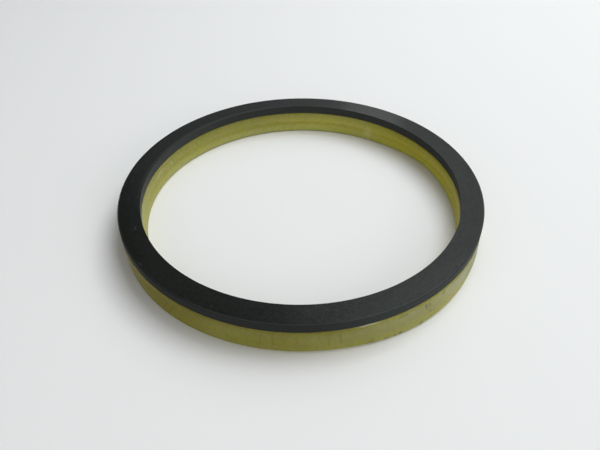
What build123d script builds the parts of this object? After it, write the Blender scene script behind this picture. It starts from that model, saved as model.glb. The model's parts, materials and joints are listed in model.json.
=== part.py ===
from build123d import *
import os
from math import radians, tan

# U-cup seal with its back-up ring, for a rod that slides in a plain bore.
#
# The seal stands on its lips, as it is laid on a bench: the U opens downwards, its heel is
# on top, and the stiff back-up ring lies on the heel. In use, pressure fills the U and
# spreads the lips against the rod and the bore, and the back-up ring keeps the soft heel
# out of the gap between them.
#
# Millimetres, +Z up. The axis is Z and the lip tips stand on z = 0.

# ---- Sizes -----------------------------------------------------------------------------

# The space that the seal fills, from the rod out to the bore
rod_diameter = 180.0
gland_depth = 12.5          # on the radius

# Room on the radius between the seal's stiff walls and the rod and bore
rod_clearance = 0.15
bore_clearance = 0.1

# Back-up ring, turned from filled nylon
ring_thickness = 5.0
ring_outer_break = 0.6      # top corner on the bore side; the rod side stays sharp

# U-cup, moulded in polyurethane
cup_height = 14.5
heel_wall_height = 4.0      # walls that stay parallel to the axis, below the heel face
heel_outer_radius = 1.8     # rounded corner on the bore side
heel_inner_bevel = 1.0      # bevelled corner on the rod side, clear of the rod's gap
inner_lip_flare = 0.35      # how far the lip's edge stands past the heel, on the radius
outer_lip_flare = 0.35
trim_height = 1.6           # knife-trimmed bevel, from the sealing edge down to the tip
trim_angle = 35.0           # of that bevel, from the axis
tip_width = 1.2             # flat end of each lip

# The U between the lips
groove_depth = 7.5
groove_root_radius = 2.0

# ---- Radii and heights that follow -----------------------------------------------------

inner_wall = rod_diameter / 2 + rod_clearance
outer_wall = rod_diameter / 2 + gland_depth - bore_clearance
heel_wall_foot = cup_height - heel_wall_height

inner_edge = inner_wall - inner_lip_flare
outer_edge = outer_wall + outer_lip_flare
trim_inset = trim_height * tan(radians(trim_angle))
inner_tip = inner_edge + trim_inset
outer_tip = outer_edge - trim_inset

mouth_inner = inner_tip + tip_width
mouth_outer = outer_tip - tip_width
root_centre = ((mouth_inner + mouth_outer) / 2, groove_depth - groove_root_radius)

# ---- U-cup -----------------------------------------------------------------------------

with BuildPart() as u_cup:
    # Outside of the section: up the rod side from the tip, over the heel, down the bore side
    with BuildSketch(Plane.XZ) as cup_section:
        with BuildLine():
            Polyline(
                (inner_tip, 0),
                (inner_edge, trim_height),
                (inner_wall, heel_wall_foot),
                (inner_wall, cup_height),
                (outer_wall, cup_height),
                (outer_wall, heel_wall_foot),
                (outer_edge, trim_height),
                (outer_tip, 0),
                close=True,
            )
        make_face()
        fillet(cup_section.vertices().group_by(Axis.Y)[-1].sort_by(Axis.X)[-1], heel_outer_radius)
        chamfer(cup_section.vertices().group_by(Axis.Y)[-1].sort_by(Axis.X)[0], heel_inner_bevel)
    revolve(axis=Axis.Z)

    # The U: straight sides from the lip ends, each running smoothly into the round root
    with BuildSketch(Plane.XZ):
        with BuildLine():
            root = CenterArc(root_centre, groove_root_radius, 0, 360, mode=Mode.PRIVATE)
            inner_side = ConstrainedLines(
                root, (mouth_inner, 0), selector=lambda lines: lines.sort_by(Axis.X)[0]
            )
            outer_side = ConstrainedLines(
                root, (mouth_outer, 0), selector=lambda lines: lines.sort_by(Axis.X)[-1]
            )
            ThreePointArc(inner_side @ 0, root @ 0.25, outer_side @ 0)
            Line(inner_side @ 1, outer_side @ 1)
        make_face()
    revolve(axis=Axis.Z, mode=Mode.SUBTRACT)

u_cup.part.label = "u_cup"

# ---- Back-up ring ----------------------------------------------------------------------

# The ring's section stands on the heel face
ring_plane = Plane(origin=(0, 0, cup_height), x_dir=(1, 0, 0), z_dir=(0, -1, 0))

with BuildPart() as backup_ring:
    with BuildSketch(ring_plane) as ring_section:
        with Locations((inner_wall, 0)):
            Rectangle(outer_wall - inner_wall, ring_thickness, align=Align.MIN)
        chamfer(ring_section.vertices().group_by(Axis.Y)[-1].sort_by(Axis.X)[-1], ring_outer_break)
    revolve(axis=Axis.Z)

backup_ring.part.label = "backup_ring"

# ---- Files -----------------------------------------------------------------------------

os.makedirs("parts", exist_ok=True)
export_step(u_cup.part, "parts/u_cup.step")
export_step(backup_ring.part, "parts/backup_ring.step")
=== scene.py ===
import json
from math import asin, atan, cos, hypot, pi, radians, sin, tan

import bpy
import numpy as np
from mathutils import Matrix, Vector


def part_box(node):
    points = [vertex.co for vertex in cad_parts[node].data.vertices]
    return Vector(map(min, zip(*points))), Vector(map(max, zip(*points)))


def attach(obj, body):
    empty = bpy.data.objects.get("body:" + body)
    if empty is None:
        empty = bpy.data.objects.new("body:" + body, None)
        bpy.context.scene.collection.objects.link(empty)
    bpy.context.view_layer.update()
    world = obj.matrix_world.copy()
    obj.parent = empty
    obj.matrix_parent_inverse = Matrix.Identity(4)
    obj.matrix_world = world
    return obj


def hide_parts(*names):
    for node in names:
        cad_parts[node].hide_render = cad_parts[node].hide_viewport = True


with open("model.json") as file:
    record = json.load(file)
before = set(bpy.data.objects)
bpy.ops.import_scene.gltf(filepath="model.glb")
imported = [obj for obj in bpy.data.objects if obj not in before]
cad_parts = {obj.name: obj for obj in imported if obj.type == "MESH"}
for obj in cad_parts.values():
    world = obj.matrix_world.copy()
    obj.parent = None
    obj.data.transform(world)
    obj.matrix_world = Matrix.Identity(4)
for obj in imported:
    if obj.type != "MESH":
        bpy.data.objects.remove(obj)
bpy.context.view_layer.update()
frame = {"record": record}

# ---- U-cup -----------------------------------------------------------------------------
# The soft seal: one ring of olive-amber polyurethane that lets some light through, moulded,
# with a deep U between its two lips. The lips' edges are trimmed with a knife. It stands on
# the lips, which are soft enough to lean a little here and there, and carries the back-up ring.

mm = 0.001
mounts = {mount["name"]: mount for mount in frame["record"]["mounts"]}
cup_low, cup_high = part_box("u_cup")

inner_wall = mounts["rod_bore"]["dims"]["r_mm"] * mm
outer_wall = mounts["housing_bore"]["dims"]["r_mm"] * mm
cup_height = cup_high.z
outer_edge = min(cup_high.x, cup_high.y, -cup_low.x, -cup_low.y)
inner_edge = inner_wall - (outer_edge - outer_wall)
heel_wall_height = 4.0 * mm
heel_round = 1.8 * mm
heel_bevel = 1.0 * mm
trim_height = 1.6 * mm
trim_angle = radians(35)
tip_width = 1.2 * mm
groove_depth = 7.5 * mm
groove_round = 2.0 * mm

wall_foot = cup_height - heel_wall_height
trim_inset = trim_height * tan(trim_angle)
inner_tip = inner_edge + trim_inset
outer_tip = outer_edge - trim_inset
mouth_middle = (inner_tip + outer_tip) / 2
mouth_half = (outer_tip - inner_tip) / 2 - tip_width


def rounded(corners, step=radians(8)):
    """A closed outline from corners of (radius, height, round). Each corner gives way to an arc
    that touches both its sides: it starts round / tan(half the corner's angle) away from the
    corner, and its centre lies on the line that halves the corner, round / sin(half) away."""
    outline = []
    for before, here, after in zip(corners[-1:] + corners[:-1], corners, corners[1:] + corners[:1]):
        corner = np.array(here[:2])
        back = np.array(before[:2]) - corner
        ahead = np.array(after[:2]) - corner
        back /= np.linalg.norm(back)
        ahead /= np.linalg.norm(ahead)
        half = np.arccos(np.clip(back @ ahead, -1, 1)) / 2
        centre = corner + (back + ahead) / np.linalg.norm(back + ahead) * here[2] / np.sin(half)
        first = corner + back * here[2] / np.tan(half) - centre
        across = -(back + ahead) / np.linalg.norm(back + ahead)
        side = first / here[2] - across * (first @ across) / here[2]
        side /= np.linalg.norm(side)
        reach = pi / 2 - half
        turn = np.linspace(reach, -reach, max(3, int(np.ceil(2 * reach / step)) + 1))[:, None]
        outline.append(centre + here[2] * (np.cos(turn) * across + np.sin(turn) * side))
    return outline


def with_steps(arcs, spacing, guard=0.08 * mm):
    """The arcs joined by their straight sides, each side cut into equal steps no longer than
    the spacing. One more point, a guard's length from each end, keeps the arc's smooth shading
    off the flat side."""
    parts = []
    for arc, following in zip(arcs, arcs[1:] + arcs[:1]):
        start, end = arc[-1], following[0]
        length = np.linalg.norm(end - start)
        steps = np.linspace(0, 1, max(2, int(np.ceil(length / spacing)) + 1))[1:-1]
        edge = min(0.2, guard / length)
        share = np.unique(np.concatenate(([edge, 1 - edge], steps)))[:, None]
        parts += [arc, start + share * (end - start)]
    return np.concatenate(parts)


# Where the lips lean: the middle and the half width of each stretch, in degrees round the ring,
# and how far the tips stand outwards there
lip_leans = (
    (305, 31, 1.6 * mm),
    (31, 26, 1.8 * mm),
    (190, 48, -1.2 * mm),
)


def lip_lean(angle, height):
    """How far the soft walls lean outwards at an angle and height. Each stretch is a swell round
    the ring, amount * cos^2(90 deg * distance / half width). The lean is nothing above the foot
    of the heel's walls and grows below it as (depth below the foot / foot height) ^ 1.5."""
    lean = 0.0
    for middle, half_width, amount in lip_leans:
        off = (np.degrees(angle) - middle + 180) % 360 - 180
        lean = lean + amount * np.cos(np.clip(off / half_width, -1, 1) * pi / 2) ** 2
    return lean * np.clip(1 - height / wall_foot, 0, 1) ** 1.5


def turned(name, outline, lean=None, around=600):
    """A ring: the outline of (radius, height) points carried round the Z axis in equal steps.
    Point (i, j) is (r cos a_i, r sin a_i, z_j), with a_i = 2 pi i / around and r = r_j plus the
    lean at a_i and z_j, if the ring has one."""
    angle = 2 * pi * np.arange(around)[:, None] / around
    radius, height = outline[:, 0], outline[:, 1]
    radius = radius + (lean(angle, height) if lean else 0 * angle)
    points = np.stack(
        (np.cos(angle) * radius, np.sin(angle) * radius, np.broadcast_to(height, radius.shape)),
        axis=-1,
    )
    count = len(height)
    i, j = np.meshgrid(np.arange(around), np.arange(count), indexing="ij")
    i_next, j_next = (i + 1) % around, (j + 1) % count
    corners = (i * count + j, i_next * count + j, i_next * count + j_next, i * count + j_next)
    faces = np.stack(corners, axis=-1)
    mesh = bpy.data.meshes.new(name)
    mesh.vertices.add(points.size // 3)
    mesh.vertices.foreach_set("co", points.ravel())
    mesh.loops.add(faces.size)
    mesh.loops.foreach_set("vertex_index", faces.ravel())
    mesh.polygons.add(faces.size // 4)
    mesh.polygons.foreach_set("loop_start", np.arange(0, faces.size, 4))
    mesh.polygons.foreach_set("use_smooth", np.ones(faces.size // 4, bool))
    mesh.update(calc_edges=True)
    piece = bpy.data.objects.new(name, mesh)
    bpy.context.scene.collection.objects.link(piece)
    return piece


# The U's straight sides touch the round root. Seen from an edge of the mouth, the root's centre
# lies at atan(half the mouth / its height) from upright, and its radius takes up the asin. The
# sides, carried on, would meet at a peak.
root_height = groove_depth - groove_round
side_slope = atan(mouth_half / root_height) - asin(groove_round / hypot(mouth_half, root_height))
groove_peak = mouth_half / tan(side_slope)

tip_round = 0.15 * mm
edge_round = 0.10 * mm
bevel_round = 0.30 * mm
foot_round = 8.0 * mm

cup_outline = with_steps(
    rounded(
        [
            (outer_tip, 0, tip_round),
            (outer_edge, trim_height, edge_round),
            (outer_wall, wall_foot, foot_round),
            (outer_wall, cup_height, heel_round),
            (inner_wall + heel_bevel, cup_height, bevel_round),
            (inner_wall, cup_height - heel_bevel, bevel_round),
            (inner_wall, wall_foot, foot_round),
            (inner_edge, trim_height, edge_round),
            (inner_tip, 0, tip_round),
            (mouth_middle - mouth_half, 0, tip_round),
            (mouth_middle, groove_peak, groove_round),
            (mouth_middle + mouth_half, 0, tip_round),
        ]
    ),
    spacing=1.2 * mm,
)
cup = turned("u_cup_polyurethane", cup_outline, lip_lean)


def feed(tree, socket, value):
    """Joins another node's socket to an input, or sets the input to a value."""
    if isinstance(value, bpy.types.NodeSocket):
        tree.links.new(value, socket)
    else:
        socket.default_value = value


def add(tree, kind, inputs=(), **settings):
    """One node with its settings, and with its inputs set to values or joined to sockets."""
    made = tree.nodes.new("ShaderNode" + kind)
    for name, value in settings.items():
        setattr(made, name, value)
    for name, value in dict(inputs).items():
        feed(tree, made.inputs[name], value)
    return made


def maths(tree, operation, *values):
    """One Math node on up to three values or sockets."""
    return add(tree, "Math", dict(enumerate(values)), operation=operation).outputs[0]


def times(tree, first, *others):
    """Values or sockets multiplied together."""
    for other in others:
        first = maths(tree, "MULTIPLY", first, other)
    return first


def between(tree, value, start, end):
    """A mask that rises smoothly from 0 at the start value to 1 at the end value."""
    span = {"Value": value, "From Min": start, "From Max": end}
    return add(tree, "MapRange", span, interpolation_type="SMOOTHSTEP").outputs[0]


def spread(tree, value, low, high, start=0.0, end=1.0):
    """A value that goes evenly from low, where the given one is at the start, to high at the end."""
    span = {"Value": value, "From Min": start, "From Max": end, "To Min": low, "To Max": high}
    return add(tree, "MapRange", span).outputs[0]


def length_of(tree, vector):
    """The length of a vector."""
    return add(tree, "VectorMath", {0: vector}, operation="LENGTH").outputs["Value"]


def dot(tree, first, second):
    """The dot product of two vectors."""
    return add(tree, "VectorMath", {0: first, 1: second}, operation="DOT_PRODUCT").outputs["Value"]


def group(name, inputs, outputs):
    """A node group with named sockets, and its two end nodes."""
    tree = bpy.data.node_groups.new(name, "ShaderNodeTree")
    for label, (kind, value) in inputs.items():
        socket = tree.interface.new_socket(label, in_out="INPUT", socket_type="NodeSocket" + kind)
        socket.default_value = value
    for label, kind in outputs.items():
        tree.interface.new_socket(label, in_out="OUTPUT", socket_type="NodeSocket" + kind)
    return tree, tree.nodes.new("NodeGroupInput"), tree.nodes.new("NodeGroupOutput")


def use(tree, shared, inputs):
    """A node group placed in a material, with its inputs set to values or joined to sockets."""
    placed = tree.nodes.new("ShaderNodeGroup")
    placed.node_tree = shared
    for name, value in inputs.items():
        feed(tree, placed.inputs[name], value)
    return placed


def mark_group():
    """A smudge or scratch: a soft-edged ellipsoid round its centre, long one way, that a fine
    noise breaks up. The mask is 1 at its middle and 0 outside."""
    tree, start, end = group(
        "mark",
        {
            "Position": ("Vector", (0, 0, 0)),
            "Centre": ("Vector", (0, 0, 0)),
            "Along": ("Vector", (0, 0, 1)),
            "Length": ("Float", 5 * mm),
            "Width": ("Float", 1 * mm),
            "Strength": ("Float", 1.0),
        },
        {"Mask": "Float"},
    )
    out = start.outputs
    apart = {0: out["Position"], 1: out["Centre"]}
    offset = add(tree, "VectorMath", apart, operation="SUBTRACT").outputs[0]
    distance = length_of(tree, offset)
    along = dot(tree, offset, out["Along"])
    aside = maths(tree, "SUBTRACT", times(tree, distance, distance), times(tree, along, along))
    aside = maths(tree, "SQRT", maths(tree, "MAXIMUM", aside, 0.0))

    # 0 at the centre and 0.5 at the mark's ends and sides, less or more where the noise says
    along = maths(tree, "DIVIDE", along, out["Length"])
    aside = maths(tree, "DIVIDE", aside, out["Width"])
    reach = maths(tree, "SQRT", maths(tree, "ADD", times(tree, along, along), times(tree, aside, aside)))
    speckle = {"Vector": out["Position"], "Scale": 1100.0, "Detail": 2.0}
    noise = add(tree, "TexNoise", speckle).outputs["Fac"]
    reach = maths(tree, "ADD", reach, times(tree, maths(tree, "SUBTRACT", noise, 0.5), 0.5))
    mask = times(tree, between(tree, reach, 0.5, 0.1), out["Strength"])
    tree.links.new(mask, end.inputs["Mask"])
    return tree


mark = mark_group()


def marks(tree, position, places):
    """The masks of several marks added up. A place is (angle, radius, height, slant, length,
    width, strength), with the angle and the slant in degrees: the slant leans the mark from
    upright, and at 90 it lies along the ring."""
    total = None
    for angle, radius, height, slant, length, width, strength in places:
        a, lying = radians(angle), radians(slant)
        reach = float(radius + lip_lean(a, height))
        along = Vector((-sin(a) * sin(lying), cos(a) * sin(lying), cos(lying)))
        placed = use(
            tree,
            mark,
            {
                "Position": position,
                "Centre": (reach * cos(a), reach * sin(a), height),
                "Along": along,
                "Length": length,
                "Width": width,
                "Strength": strength,
            },
        ).outputs["Mask"]
        total = placed if total is None else maths(tree, "ADD", total, placed)
    return add(tree, "Clamp", {"Value": total}).outputs[0]


def mixed(tree, share, first, second, blend="MIX"):
    """Colour first where the share is 0, colour second where it is 1."""
    made = tree.nodes.new("ShaderNodeMix")
    made.data_type = "RGBA"
    made.blend_type = blend
    # The node has sockets of the same names for numbers and for vectors. Those for colours are
    # its inputs 6 and 7 and its output 2.
    for place, value in ((0, share), (6, first), (7, second)):
        feed(tree, made.inputs[place], (*value, 1.0) if isinstance(value, tuple) else value)
    return made.outputs[2]


def ring_place_group():
    """Where a point lies on a ring that stands on the Z axis: its angle from +X, in radians,
    its distance from the axis and its height."""
    tree, start, end = group(
        "ring_place",
        {"Position": ("Vector", (0, 0, 0))},
        {"Angle": "Float", "Radius": "Float", "Height": "Float"},
    )
    apart = add(tree, "SeparateXYZ", {0: start.outputs["Position"]}).outputs
    flat = add(tree, "CombineXYZ", {"X": apart["X"], "Y": apart["Y"]}).outputs[0]
    tree.links.new(maths(tree, "ARCTAN2", apart["Y"], apart["X"]), end.inputs["Angle"])
    tree.links.new(length_of(tree, flat), end.inputs["Radius"])
    tree.links.new(apart["Z"], end.inputs["Height"])
    return tree


ring_place = ring_place_group()


def drift_group():
    """A slow change across the object: the distance from the Z axis in one direction, spread
    smoothly from 0 at the start value to 1 at the end value."""
    tree, start, end = group(
        "drift",
        {
            "Position": ("Vector", (0, 0, 0)),
            "Way": ("Vector", (1, 0, 0)),
            "Start": ("Float", 0.0),
            "End": ("Float", 1.0),
        },
        {"Mask": "Float"},
    )
    out = start.outputs
    reach = dot(tree, out["Position"], out["Way"])
    tree.links.new(between(tree, reach, out["Start"], out["End"]), end.inputs["Mask"])
    return tree


def grain_group():
    """Grain or mottle: a noise of the given scale, spread from 0 at the low to 1 at the high
    value."""
    tree, start, end = group(
        "grain",
        {
            "Position": ("Vector", (0, 0, 0)),
            "Scale": ("Float", 500.0),
            "Detail": ("Float", 3.0),
            "Roughness": ("Float", 0.6),
            "Low": ("Float", 0.3),
            "High": ("Float", 0.7),
        },
        {"Mask": "Float"},
    )
    out = start.outputs
    texture = {label: out[label] for label in ("Scale", "Detail", "Roughness")}
    noise = add(tree, "TexNoise", {"Vector": out["Position"], **texture}).outputs["Fac"]
    tree.links.new(between(tree, noise, out["Low"], out["High"]), end.inputs["Mask"])
    return tree


def lines_group():
    """Fine lines left by a cutting tool: noise along one measure alone, such as the radius."""
    inputs = {"Across": ("Float", 0.0), "Scale": ("Float", 2000.0)}
    tree, start, end = group("lines", inputs, {"Mask": "Float"})
    across = add(tree, "CombineXYZ", {"X": start.outputs["Across"]}).outputs[0]
    texture = {"Vector": across, "Scale": start.outputs["Scale"], "Detail": 2.0}
    tree.links.new(add(tree, "TexNoise", texture).outputs["Fac"], end.inputs["Mask"])
    return tree


drift, grain, lines = drift_group(), grain_group(), lines_group()


def towards(tree, position, bearing, start, end):
    """The drift mask towards a bearing, in degrees from +X and counter-clockwise from above. Its
    start and end are given as shares of the rod-side radius."""
    way = (cos(radians(bearing)), sin(radians(bearing)), 0)
    span = {"Start": start * inner_wall, "End": end * inner_wall}
    return use(tree, drift, {"Position": position, "Way": way, **span}).outputs["Mask"]


def grained(tree, position, scale, detail, roughness, low, high):
    """The grain mask with its values."""
    texture = {"Scale": scale, "Detail": detail, "Roughness": roughness}
    return use(tree, grain, {"Position": position, **texture, "Low": low, "High": high}).outputs["Mask"]


def polyurethane():
    material = bpy.data.materials.new("polyurethane")
    material.use_nodes = True
    tree = material.node_tree
    shader = tree.nodes["Principled BSDF"]
    position = add(tree, "TexCoord").outputs["Object"]
    place = use(tree, ring_place, {"Position": position}).outputs
    angle, height = place["Angle"], place["Height"]

    # The body's colour: slow clouds between two tones of the resin. The rod side is painted paler:
    # painted light that stands in for light shining through the walls
    clouds = grained(tree, position, 45.0, 3.0, 0.55, 0.3, 0.7)
    colour = mixed(tree, clouds, (0.265, 0.247, 0.051), (0.309, 0.288, 0.067))
    rod_side = between(tree, place["Radius"], mouth_middle + 1 * mm, mouth_middle - 1 * mm)
    bore_side = maths(tree, "SUBTRACT", 1.0, rod_side)
    colour = mixed(tree, rod_side, colour, (0.380, 0.366, 0.096))

    # Painted light and shade round the ring: light shining through from the right is painted paler on
    # one stretch of the rod side and deeper and more saturated on another, and painted shade darkens two
    # stretches of the bore side
    for bearing, start, end, wall, tone in (
        (58, 0.60, 0.98, rod_side, (0.525, 0.490, 0.115)),
        (5, 0.45, 0.95, rod_side, (0.500, 0.437, 0.040)),
        (215, 0.93, 1.12, bore_side, (0.220, 0.188, 0.016)),
        (342, 0.98, 1.13, bore_side, (0.215, 0.210, 0.058)),
    ):
        stretch = times(tree, towards(tree, position, bearing, start, end), wall)
        colour = mixed(tree, stretch, colour, tone)

    # The lips are thinner than the heel. Painted light, standing in for light that comes through them
    # and up from the table, makes them a little paler, most on one stretch of the rod side, and paler
    # and yellower on another
    lips = between(tree, height, 7.5 * mm, 3.0 * mm)
    stretch = times(tree, lips, rod_side, towards(tree, position, 128, 0.55, 0.95))
    colour = mixed(tree, times(tree, stretch, 0.45), colour, (0.520, 0.500, 0.170))
    colour = mixed(tree, times(tree, lips, bore_side, 0.22), colour, (0.400, 0.380, 0.085))
    stretch = times(tree, lips, rod_side, towards(tree, position, 22, 0.82, 0.98))
    colour = mixed(tree, times(tree, stretch, 0.5), colour, (0.640, 0.570, 0.110))

    # The root of the U shows through the walls as a faint, more saturated band. Its share falls
    # off as exp(-(distance / half width)^2) above and below.
    off_root = maths(tree, "SUBTRACT", height, groove_depth - 0.5 * mm)
    off_root = maths(tree, "DIVIDE", off_root, 1.3 * mm)
    root_band = maths(tree, "EXPONENT", times(tree, off_root, off_root, -1.0))
    clearer = times(tree, towards(tree, position, 85, 0.85, 0.99), rod_side)
    root_band = times(tree, root_band, maths(tree, "MULTIPLY_ADD", clearer, 0.18, 0.25))
    colour = mixed(tree, root_band, colour, (0.300, 0.260, 0.020))

    # Painted shade under the back-up ring deepens the tone of the heel's corner; it is painted lighter
    # on one stretch where light falls from the right and darker on two shaded stretches
    heel_shade_colour = (0.225, 0.206, 0.046)
    for bearing, start, end, tone in (
        (318, 0.85, 1.08, (0.345, 0.337, 0.098)),
        (342, 0.98, 1.13, (0.215, 0.205, 0.022)),
        (215, 0.85, 1.10, (0.188, 0.163, 0.020)),
    ):
        heel_shade_colour = mixed(tree, towards(tree, position, bearing, start, end), heel_shade_colour, tone)
    heel = between(tree, height, cup_height - 6.5 * mm, cup_height - 1.5 * mm)
    heel = times(tree, heel, maths(tree, "MULTIPLY_ADD", bore_side, 0.18, 0.42))
    colour = mixed(tree, heel, colour, heel_shade_colour)

    # A fine grain of lighter and darker specks in the resin, and a mottle of its hue
    specks = grained(tree, position, 620.0, 3.0, 0.7, 0.62, 0.40)
    colour = mixed(tree, specks, colour, (0.89, 0.89, 0.84), "MULTIPLY")
    hue = grained(tree, position, 330.0, 3.0, 0.7, 0.35, 0.65)
    tint = mixed(tree, hue, (0.95, 1.02, 0.82), (1.05, 0.98, 1.18))
    colour = mixed(tree, 1.0, colour, tint, "MULTIPLY")

    # A painted sheen on the bore side, on one stretch below the rounded corner, stronger towards one
    # end: a pale grey painted reflection of the bright surroundings, turning lower down to a yellow
    # painted glow of light coming through the lips
    thin = times(tree, between(tree, angle, radians(-100), radians(-55)), 0.55)
    thick = times(tree, between(tree, angle, radians(-53), radians(-38)), 0.45)
    painted_sheen = maths(tree, "ADD", thin, thick)
    painted_sheen = times(tree, painted_sheen, between(tree, angle, radians(-26), radians(-38)))
    painted_sheen = times(tree, painted_sheen, between(tree, height, 13.6 * mm, 9.0 * mm), bore_side)
    low = between(tree, height, 7.0 * mm, 3.0 * mm)
    sheen_colour = mixed(tree, low, (0.520, 0.530, 0.400), (0.530, 0.525, 0.220))
    colour = mixed(tree, times(tree, painted_sheen, 0.42), colour, sheen_colour)

    # Flow lines of the moulding and faint creases on the two walls
    streaks = marks(
        tree,
        position,
        [
            (222.8, outer_wall, 10.0 * mm, 34, 13 * mm, 1.7 * mm, 0.7),
            (230.7, outer_wall, 8.8 * mm, 34, 16 * mm, 1.7 * mm, 0.8),
            (232.7, outer_wall, 8.0 * mm, 32, 18 * mm, 2.0 * mm, 0.9),
            (259.2, outer_wall, 7.5 * mm, 3, 18 * mm, 1.3 * mm, 0.45),
            (262.5, outer_wall, 7.5 * mm, 3, 18 * mm, 1.5 * mm, 0.6),
            (265.3, outer_wall, 8.0 * mm, 2, 14 * mm, 1.3 * mm, 0.3),
            (268.5, outer_wall, 8.0 * mm, 4, 14 * mm, 2.6 * mm, 0.3),
            (276.9, outer_wall, 7.5 * mm, -2, 17 * mm, 1.3 * mm, 0.5),
            (279.9, outer_wall, 7.5 * mm, -5, 17 * mm, 1.5 * mm, 0.6),
            (139.0, inner_wall, 9.6 * mm, 38, 6 * mm, 1.4 * mm, 0.5),
            (146.5, inner_wall, 9.5 * mm, 36, 6 * mm, 1.4 * mm, 0.3),
            (153.4, inner_wall, 9.2 * mm, 30, 7 * mm, 1.4 * mm, 0.5),
            (159.9, inner_wall, 8.4 * mm, 40, 8 * mm, 1.5 * mm, 0.4),
        ],
    )
    colour = mixed(tree, times(tree, streaks, 0.55), colour, (0.130, 0.115, 0.018))

    # Short scratches and smudges from handling, and three paler patches
    smudges = marks(
        tree,
        position,
        [
            (222.8, outer_wall, 9.0 * mm, 34, 8 * mm, 2.2 * mm, 0.35),
            (288.3, outer_wall, 2.4 * mm, 20, 5.0 * mm, 2.6 * mm, 0.45),
            (296.7, outer_wall, 11.8 * mm, 60, 3.6 * mm, 1.7 * mm, 0.5),
            (297.6, outer_wall, 11.1 * mm, 90, 3.4 * mm, 1.5 * mm, 0.45),
            (298.5, outer_wall, 11.6 * mm, -50, 3.6 * mm, 1.7 * mm, 0.5),
            (305.2, outer_wall, 10.2 * mm, -24, 6.5 * mm, 1.9 * mm, 0.70),
            (306.5, outer_wall, 9.9 * mm, -24, 5.5 * mm, 1.7 * mm, 0.55),
            (306.9, outer_wall, 5.6 * mm, 90, 3.0 * mm, 2.2 * mm, 0.4),
            (308.2, outer_wall, 4.6 * mm, 90, 3.0 * mm, 2.2 * mm, 0.3),
            (312.1, outer_wall, 11.4 * mm, 0, 5.0 * mm, 2.8 * mm, 0.6),
        ],
    )
    colour = mixed(tree, times(tree, smudges, 0.85), colour, (0.100, 0.095, 0.030))
    pale_patches = marks(
        tree,
        position,
        [
            (59.0, inner_wall, 5.0 * mm, 0, 13 * mm, 9 * mm, 1.0),
            (154.6, inner_wall, 9.4 * mm, 30, 7 * mm, 1.6 * mm, 0.6),
            (164.0, inner_wall, 10.6 * mm, 90, 16 * mm, 5 * mm, 0.5),
        ],
    )
    colour = mixed(tree, times(tree, pale_patches, 0.4), colour, (0.600, 0.585, 0.300))

    # A dark line and dark spots on the trimmed edge
    dark_edge_marks = marks(
        tree,
        position,
        [
            (288.0, outer_edge, 1.5 * mm, 90, 12 * mm, 1.7 * mm, 0.7),
            (292.3, outer_edge, 1.6 * mm, 90, 3.4 * mm, 2.0 * mm, 0.8),
            (294.9, outer_edge, 1.7 * mm, 90, 2.8 * mm, 1.8 * mm, 0.6),
            (296.6, outer_edge, 1.7 * mm, 90, 3.0 * mm, 2.4 * mm, 1.0),
            (303.3, outer_edge, 1.7 * mm, 90, 3.2 * mm, 2.4 * mm, 1.0),
        ],
    )
    colour = mixed(tree, times(tree, dark_edge_marks, 0.9), colour, (0.030, 0.032, 0.035))
    tree.links.new(colour, shader.inputs["Base Color"])

    # The skin is satin and faintly uneven, and smoother on the heel's corner
    bumps = add(tree, "TexNoise", {"Vector": position, "Scale": 260.0, "Detail": 4.0}).outputs["Fac"]
    roughness = spread(tree, bumps, 0.34, 0.44, start=0.3, end=0.7)
    corner_foot = cup_height - heel_round
    corner = between(tree, height, corner_foot - 0.6 * mm, corner_foot + 0.2 * mm)
    roughness = maths(tree, "SUBTRACT", roughness, times(tree, corner, 0.14))
    tree.links.new(roughness, shader.inputs["Roughness"])

    # The knife left fine lines round the ring on the two trimmed bevels
    across = maths(tree, "ADD", place["Radius"], height)
    knife = use(tree, lines, {"Across": across, "Scale": 3500.0}).outputs["Mask"]
    trimmed = between(tree, height, trim_height, trim_height - 0.1 * mm)
    relief = maths(tree, "ADD", bumps, times(tree, knife, trimmed, 0.5))
    skin = {"Height": relief, "Strength": 0.15, "Distance": 0.05 * mm}
    tree.links.new(add(tree, "Bump", skin).outputs[0], shader.inputs["Normal"])

    # One short stretch of the corner is polished where the seal was held to be trimmed
    polished = times(
        tree,
        between(tree, angle, radians(-76.7), radians(-74.3)),
        between(tree, angle, radians(-67.4), radians(-69.8)),
        corner,
    )
    tree.links.new(polished, shader.inputs["Coat Weight"])
    shader.inputs["Coat Roughness"].default_value = 0.10
    shader.inputs["Subsurface Weight"].default_value = 1.0
    shader.inputs["Subsurface Radius"].default_value = (14.0, 11.0, 3.0)
    shader.inputs["Subsurface Scale"].default_value = mm
    shader.inputs["IOR"].default_value = 1.5
    shader.inputs["Specular IOR Level"].default_value = 0.12
    return material


cup.data.materials.append(polyurethane())
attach(cup, "root")
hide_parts("u_cup")

# ---- Back-up ring ----------------------------------------------------------------------
# The stiff ring that keeps the soft heel out of the gap round the rod: turned from filled
# charcoal nylon, with a small break on its outer top corner. It lies loose on the heel.

ring_low, ring_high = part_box("backup_ring")
ring_break = 0.6 * mm
break_round = 0.15 * mm
seat_round = 0.10 * mm
rod_round = 0.08 * mm
ring_outline = with_steps(
    rounded(
        [
            (outer_wall, ring_low.z, seat_round),
            (outer_wall, ring_high.z - ring_break, break_round),
            (outer_wall - ring_break, ring_high.z, break_round),
            (inner_wall, ring_high.z, rod_round),
            (inner_wall, ring_low.z, rod_round),
        ]
    ),
    spacing=1.5 * mm,
)
ring = turned("backup_ring_nylon", ring_outline)


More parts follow.
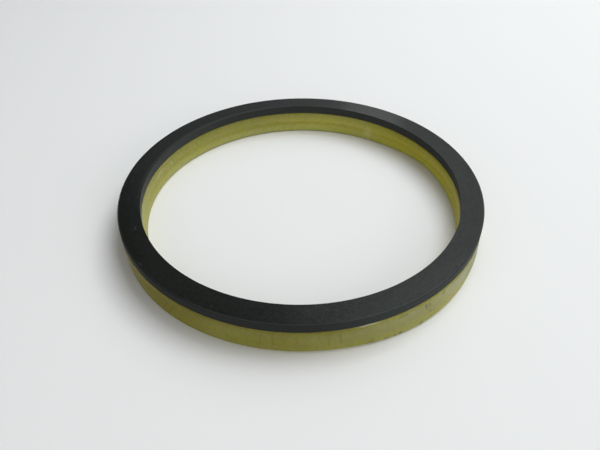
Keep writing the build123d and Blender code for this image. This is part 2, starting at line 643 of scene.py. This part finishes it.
def charcoal_nylon():
    material = bpy.data.materials.new("charcoal_nylon")
    material.use_nodes = True
    tree = material.node_tree
    shader = tree.nodes["Principled BSDF"]
    position = add(tree, "TexCoord").outputs["Object"]
    place = use(tree, ring_place, {"Position": position}).outputs
    angle, radius, height = place["Angle"], place["Radius"], place["Height"]

    # The filler shows as a fine mottle of lighter and darker specks, some greener, some warmer
    mottle = grained(tree, position, 1000.0, 4.0, 0.7, 0.35, 0.65)
    colour = mixed(tree, mottle, (0.0018, 0.0036, 0.0028), (0.0102, 0.0132, 0.0124))
    hue = grained(tree, position, 870.0, 3.0, 0.7, 0.38, 0.62)
    tint = mixed(tree, hue, (0.64, 1.12, 0.90), (1.36, 0.88, 1.10))
    colour = mixed(tree, 1.0, colour, tint, "MULTIPLY")

    # Painted shade darkens one side of the face and painted light brightens one stretch, and a painted
    # sheen lies as a pale line along the edge round the rod on one side
    shaded_side = towards(tree, position, 228, 0.60, 1.08)
    colour = mixed(tree, shaded_side, colour, (0.66, 0.64, 0.48), "MULTIPLY")
    lit_stretch = towards(tree, position, 303, 0.98, 1.08)
    colour = mixed(tree, lit_stretch, colour, (0.0050, 0.0052, 0.0052), "ADD")
    rod_edge_sheen = between(tree, radius, inner_wall + 2.6 * mm, inner_wall + 1.1 * mm)
    rod_edge_sheen = times(tree, rod_edge_sheen, towards(tree, position, 143, 0.60, 1.0), 0.8)
    colour = mixed(tree, rod_edge_sheen, colour, (0.0290, 0.0335, 0.0320))

    # The two walls are painted paler than the face, painted light and reflection, the rod's side most
    # and the lit side more; painted shade darkens one stretch of the bore side and one of the rod side
    walls = between(tree, height, ring_high.z - 0.1 * mm, ring_high.z - 0.5 * mm)
    lit_side = towards(tree, position, 315, 0.80, 1.10)
    bore_colour = mixed(tree, lit_side, (0.0165, 0.0190, 0.0180), (0.0285, 0.0325, 0.0300))
    dark_stretch = towards(tree, position, 212, 0.96, 1.11)
    bore_colour = mixed(tree, dark_stretch, bore_colour, (0.0085, 0.0098, 0.0094))
    rod_colour = (0.0270, 0.0310, 0.0285)
    for bearing, start, end, tone in (
        (172, 0.55, 1.0, (0.0390, 0.0440, 0.0400)),
        (12, 0.78, 1.0, (0.0200, 0.0230, 0.0210)),
    ):
        rod_colour = mixed(tree, towards(tree, position, bearing, start, end), rod_colour, tone)
    rod_side = between(tree, radius, inner_wall + 0.2 * mm, inner_wall + 0.1 * mm)
    wall_colour = mixed(tree, rod_side, bore_colour, rod_colour)
    wall_colour = mixed(tree, 1.0, wall_colour, tint, "MULTIPLY")
    colour = mixed(tree, walls, colour, wall_colour)

    # A painted highlight: the upper line of the break along the outer edge is painted a little paler
    # still, more on the lit side, and the line is made less rough
    off_break = maths(tree, "ADD", radius, height)
    off_break = maths(tree, "SUBTRACT", off_break, outer_wall + ring_high.z - ring_break)
    break_highlight = between(tree, maths(tree, "ABSOLUTE", off_break), 0.12 * mm, 0.02 * mm)
    upper = between(tree, height, ring_high.z - 0.42 * mm, ring_high.z - 0.26 * mm)
    break_highlight = times(tree, break_highlight, upper)
    break_highlight_colour = mixed(tree, lit_side, (0.0290, 0.0330, 0.0320), (0.0400, 0.0450, 0.0440))
    colour = mixed(tree, break_highlight, colour, break_highlight_colour)

    # Pale scuffs on the face and on its outer edge, and one black speck
    scuffs = marks(
        tree,
        position,
        [
            (202.5, 94.2 * mm, ring_high.z, 90, 3.5 * mm, 1.6 * mm, 0.9),
            (203.1, 95.6 * mm, ring_high.z, 90, 2.0 * mm, 1.2 * mm, 0.6),
            (218.5, 101.0 * mm, ring_high.z, 90, 4.0 * mm, 1.4 * mm, 0.9),
            (245.6, 99.4 * mm, ring_high.z, 90, 2.0 * mm, 1.2 * mm, 0.4),
        ],
    )
    colour = mixed(tree, times(tree, scuffs, 0.6), colour, (0.0480, 0.0500, 0.0480))
    speck = marks(tree, position, [(318.3, 100.7 * mm, ring_high.z, 90, 3.6 * mm, 3.0 * mm, 1.0)])
    colour = mixed(tree, speck, colour, (0.0010, 0.0010, 0.0010))

    # The lathe's last lines show near the outer edge, on one stretch
    lathe = use(tree, lines, {"Across": radius, "Scale": 2200.0}).outputs["Mask"]
    rim = times(tree, between(tree, radius, 98.5 * mm, 101.5 * mm), between(tree, lathe, 0.55, 0.70))
    rim = times(tree, rim, between(tree, angle, radians(-60), radians(-42)), 0.6)
    colour = mixed(tree, rim, colour, (0.0240, 0.0265, 0.0260))
    tree.links.new(colour, shader.inputs["Base Color"])

    roughness = spread(tree, mottle, 0.35, 0.43)
    roughness = maths(tree, "ADD", roughness, times(tree, walls, 0.2))
    roughness = maths(tree, "SUBTRACT", roughness, times(tree, break_highlight, 0.15))
    tree.links.new(roughness, shader.inputs["Roughness"])
    relief = maths(tree, "ADD", mottle, times(tree, lathe, 0.6))
    skin = {"Height": relief, "Strength": 0.2, "Distance": 0.03 * mm}
    tree.links.new(add(tree, "Bump", skin).outputs[0], shader.inputs["Normal"])
    shader.inputs["IOR"].default_value = 1.5
    shader.inputs["Specular IOR Level"].default_value = 0.15

    # The face has a thin shine, broken up by the mottle
    face = maths(tree, "SUBTRACT", 1.0, walls)
    tree.links.new(times(tree, face, spread(tree, mottle, 0.07, 0.18)), shader.inputs["Coat Weight"])
    shader.inputs["Coat Roughness"].default_value = 0.13
    return material


ring.data.materials.append(charcoal_nylon())
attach(ring, "root")
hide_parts("backup_ring")

# ---- Studio ----------------------------------------------------------------------------
# A plain pale round table in soft light. Most of it comes from above on the right and from
# behind, the left side of the room is dim, and one narrow lamp stands low in front on the right.

# The table's round edge: points (r cos a, r sin a, 0) in equal steps of a
table_radius = 1.4
table_sides = 180
edge_angle = 2 * pi * np.arange(table_sides) / table_sides
edge = table_radius * np.stack((np.cos(edge_angle), np.sin(edge_angle), 0 * edge_angle), axis=-1)
table_mesh = bpy.data.meshes.new("table")
table_mesh.from_pydata(edge.tolist(), [], [list(range(len(edge)))])
table = bpy.data.objects.new("table", table_mesh)
bpy.context.scene.collection.objects.link(table)
table_material = bpy.data.materials.new("pale_table")
table_material.use_nodes = True
table_shader = table_material.node_tree.nodes["Principled BSDF"]
table_shader.inputs["Base Color"].default_value = (0.94, 0.94, 0.935, 1)
table_shader.inputs["Roughness"].default_value = 0.8
table_shader.inputs["Specular IOR Level"].default_value = 0.1
table_mesh.materials.append(table_material)


def lamp(name, azimuth, elevation, distance, size, power, colour=(1, 1, 1)):
    """A rectangular soft light that faces the ring, unseen by the camera. Azimuth 0 is behind the
    ring and 90 on its right. The size is its width and height in metres."""
    a, e = radians(azimuth), radians(elevation)
    place = Vector((sin(a) * cos(e), cos(a) * cos(e), sin(e))) * distance
    light = bpy.data.lights.new(name, "AREA")
    light.shape = "RECTANGLE"
    light.size, light.size_y = size
    light.energy = power
    light.color = colour
    made = bpy.data.objects.new(name, light)
    made.matrix_world = Matrix.Translation(place) @ place.to_track_quat("Z", "Y").to_matrix().to_4x4()
    made.visible_camera = False
    bpy.context.scene.collection.objects.link(made)


lamp("room_behind", 0, 36, 1.6, (1.1, 0.85), 1.5)
lamp("door_behind", 3, 35, 1.6, (0.4, 0.85), 0.28)
lamp("window_behind", 30, 45, 1.6, (1.1, 0.75), 3.4, (0.96, 1.0, 1.0))
lamp("window_above", 60, 64, 1.6, (1.1, 1.1), 14.8, (0.97, 1.0, 1.02))
lamp("window_front", 126, 30, 1.6, (2.0, 0.8), 5.5)
lamp("room_behind_camera", 210, 38, 1.6, (2.0, 1.4), 5.5)
lamp("gap_behind", 9.5, 29.3, 1.6, (0.18, 0.07), 0.2)
lamp("strip_front", 146.5, 13, 1.2, (0.18, 0.55), 1.1)

# The room sends back little light, less on the left. The camera sees a pale wall in its place.
world = bpy.data.worlds.new("room")
world.use_nodes = True
room = world.node_tree
background = room.nodes["Background"]
direction = add(room, "TexCoord").outputs["Generated"]
rightward = add(room, "SeparateXYZ", {0: direction}).outputs["X"]
right_side = between(room, rightward, -0.45, 0.6)
dim_room = mixed(room, right_side, (0.06, 0.06, 0.06), (0.12, 0.12, 0.12))
seen = add(room, "LightPath").outputs["Is Camera Ray"]
room.links.new(mixed(room, seen, dim_room, (0.74, 0.74, 0.73)), background.inputs["Color"])
bpy.context.scene.world = world
bpy.context.scene.view_settings.view_transform = "Standard"

# The camera looks down on the ring from in front, close enough for strong perspective. It stands
# at an elevation above the middle of the top face, tilts a little past that point, and is turned
# and rolled very slightly. All these angles are in radians.
camera_distance = 3.2628 * outer_wall
elevation = 0.6446
tilt = elevation + 0.068
yaw, roll = -0.0021, -0.0116
forward = Vector((sin(yaw) * cos(tilt), cos(yaw) * cos(tilt), -sin(tilt)))
right = forward.cross(Vector((0, 0, 1))).normalized()
up = right.cross(forward)
camera_x = cos(roll) * right + sin(roll) * up
camera_y = cos(roll) * up - sin(roll) * right
camera_data = bpy.data.cameras.new("camera")
camera_data.sensor_width = 36.0
camera_data.lens = 34.94
camera_data.clip_start = 0.01
camera = bpy.data.objects.new("camera", camera_data)
camera.matrix_world = Matrix(
    (
        (camera_x.x, camera_y.x, -forward.x, 0),
        (camera_x.y, camera_y.y, -forward.y, -camera_distance * cos(elevation)),
        (camera_x.z, camera_y.z, -forward.z, ring_high.z + camera_distance * sin(elevation)),
        (0, 0, 0, 1),
    )
)
bpy.context.scene.collection.objects.link(camera)
bpy.context.scene.camera = camera
